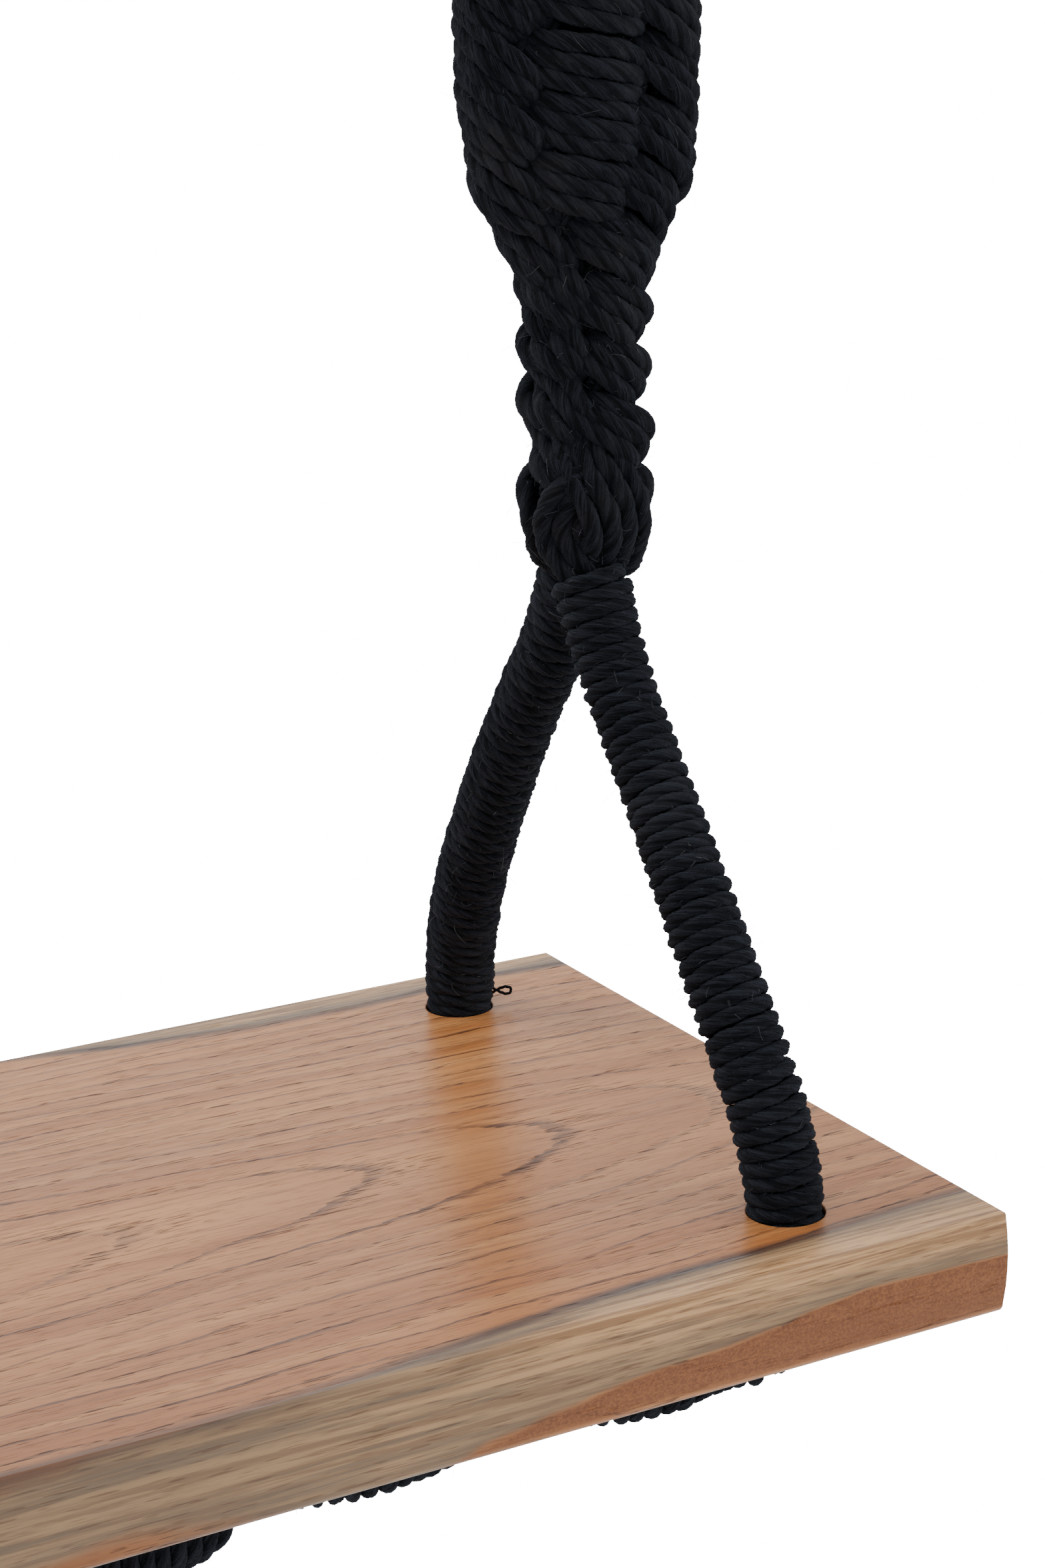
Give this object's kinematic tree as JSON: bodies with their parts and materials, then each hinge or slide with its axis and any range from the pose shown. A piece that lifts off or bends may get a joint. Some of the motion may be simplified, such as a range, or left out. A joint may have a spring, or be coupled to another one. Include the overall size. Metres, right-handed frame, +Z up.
{
  "type": "plank swing",
  "caption": "Hardwood plank swing seat on whipped rope legs and knotted flat rope straps, hung from steel rings under ceiling plates.",
  "frame": {"origin": "midway between the two ceiling plates, in the plane of their top faces, where they meet the beam", "axes": "+X along the seat to its right end, +Y from front to back, +Z up"},
  "size_m": [0.65, 0.2532, 0.5238],
  "materials": {
    "teak": "oiled, satin",
    "rope": "matt twisted cotton",
    "steel": "satin zinc"
  },
  "bodies": {
    "ceiling_plates": {"right_hanger_bow": "steel", "right_ceiling_plate": "steel", "left_hanger_bow": "steel", "left_ceiling_plate": "steel"},
    "right_ring": {"right_ring": "steel"},
    "right_strap": {"right_filler_cords": "rope", "right_narrow_sinnet": "rope", "right_wide_sinnet": "rope", "right_neck_wrap": "rope", "right_loop_whipping": "rope"},
    "right_knot": {"right_junction_knot": "rope"},
    "seat": {"seat_board": "teak", "front_core_rope": "rope", "front_splice_whipping": "rope", "right_front_upper_whipping": "rope", "right_front_lower_whipping": "rope", "left_front_upper_whipping": "rope", "left_front_lower_whipping": "rope", "back_core_rope": "rope", "back_splice_whipping": "rope", "right_back_upper_whipping": "rope", "right_back_lower_whipping": "rope", "left_back_upper_whipping": "rope", "left_back_lower_whipping": "rope"},
    "left_ring": {"left_ring": "steel"},
    "left_strap": {"left_filler_cords": "rope", "left_narrow_sinnet": "rope", "left_wide_sinnet": "rope", "left_neck_wrap": "rope", "left_loop_whipping": "rope"},
    "left_knot": {"left_junction_knot": "rope"}
  },
  "joints": [
    {"name": "right_swing", "type": "hinge", "parent": "ceiling_plates", "child": "right_ring", "pos_m": [0.2706, 0, -0.026], "axis": [1, 0, 0], "range_deg": [-45, 45]},
    {"name": "right_sway", "type": "hinge", "parent": "right_ring", "child": "right_strap", "pos_m": [0.2706, 0, -0.0697], "axis": [0, 1, 0], "range_deg": [-12, 12]},
    {"name": "right_level", "type": "hinge", "parent": "right_strap", "child": "right_knot", "pos_m": [0.2706, 0, -0.295], "axis": [0, 1, 0], "range_deg": [-12, 12]},
    {"name": "left_swing", "type": "hinge", "parent": "ceiling_plates", "child": "left_ring", "pos_m": [-0.2706, 0, -0.026], "axis": [1, 0, 0], "range_deg": [-45, 45]},
    {"name": "left_sway", "type": "hinge", "parent": "left_ring", "child": "left_strap", "pos_m": [-0.2706, 0, -0.0697], "axis": [0, 1, 0], "range_deg": [-12, 12]},
    {"name": "left_level", "type": "hinge", "parent": "left_strap", "child": "left_knot", "pos_m": [-0.2706, 0, -0.295], "axis": [0, 1, 0], "range_deg": [-12, 12]},
    {"name": "seat_tilt", "type": "hinge", "parent": "right_knot", "child": "seat", "pos_m": [0.2706, 0, -0.295], "axis": [1, 0, 0], "range_deg": [-20, 20]}
  ],
  "couplings": [
    {"joint": "left_swing", "follows": "right_swing", "ratio": 1},
    {"joint": "left_sway", "follows": "right_sway", "ratio": 1},
    {"joint": "right_level", "follows": "right_sway", "ratio": -1},
    {"joint": "left_level", "follows": "right_sway", "ratio": -1}
  ]
}
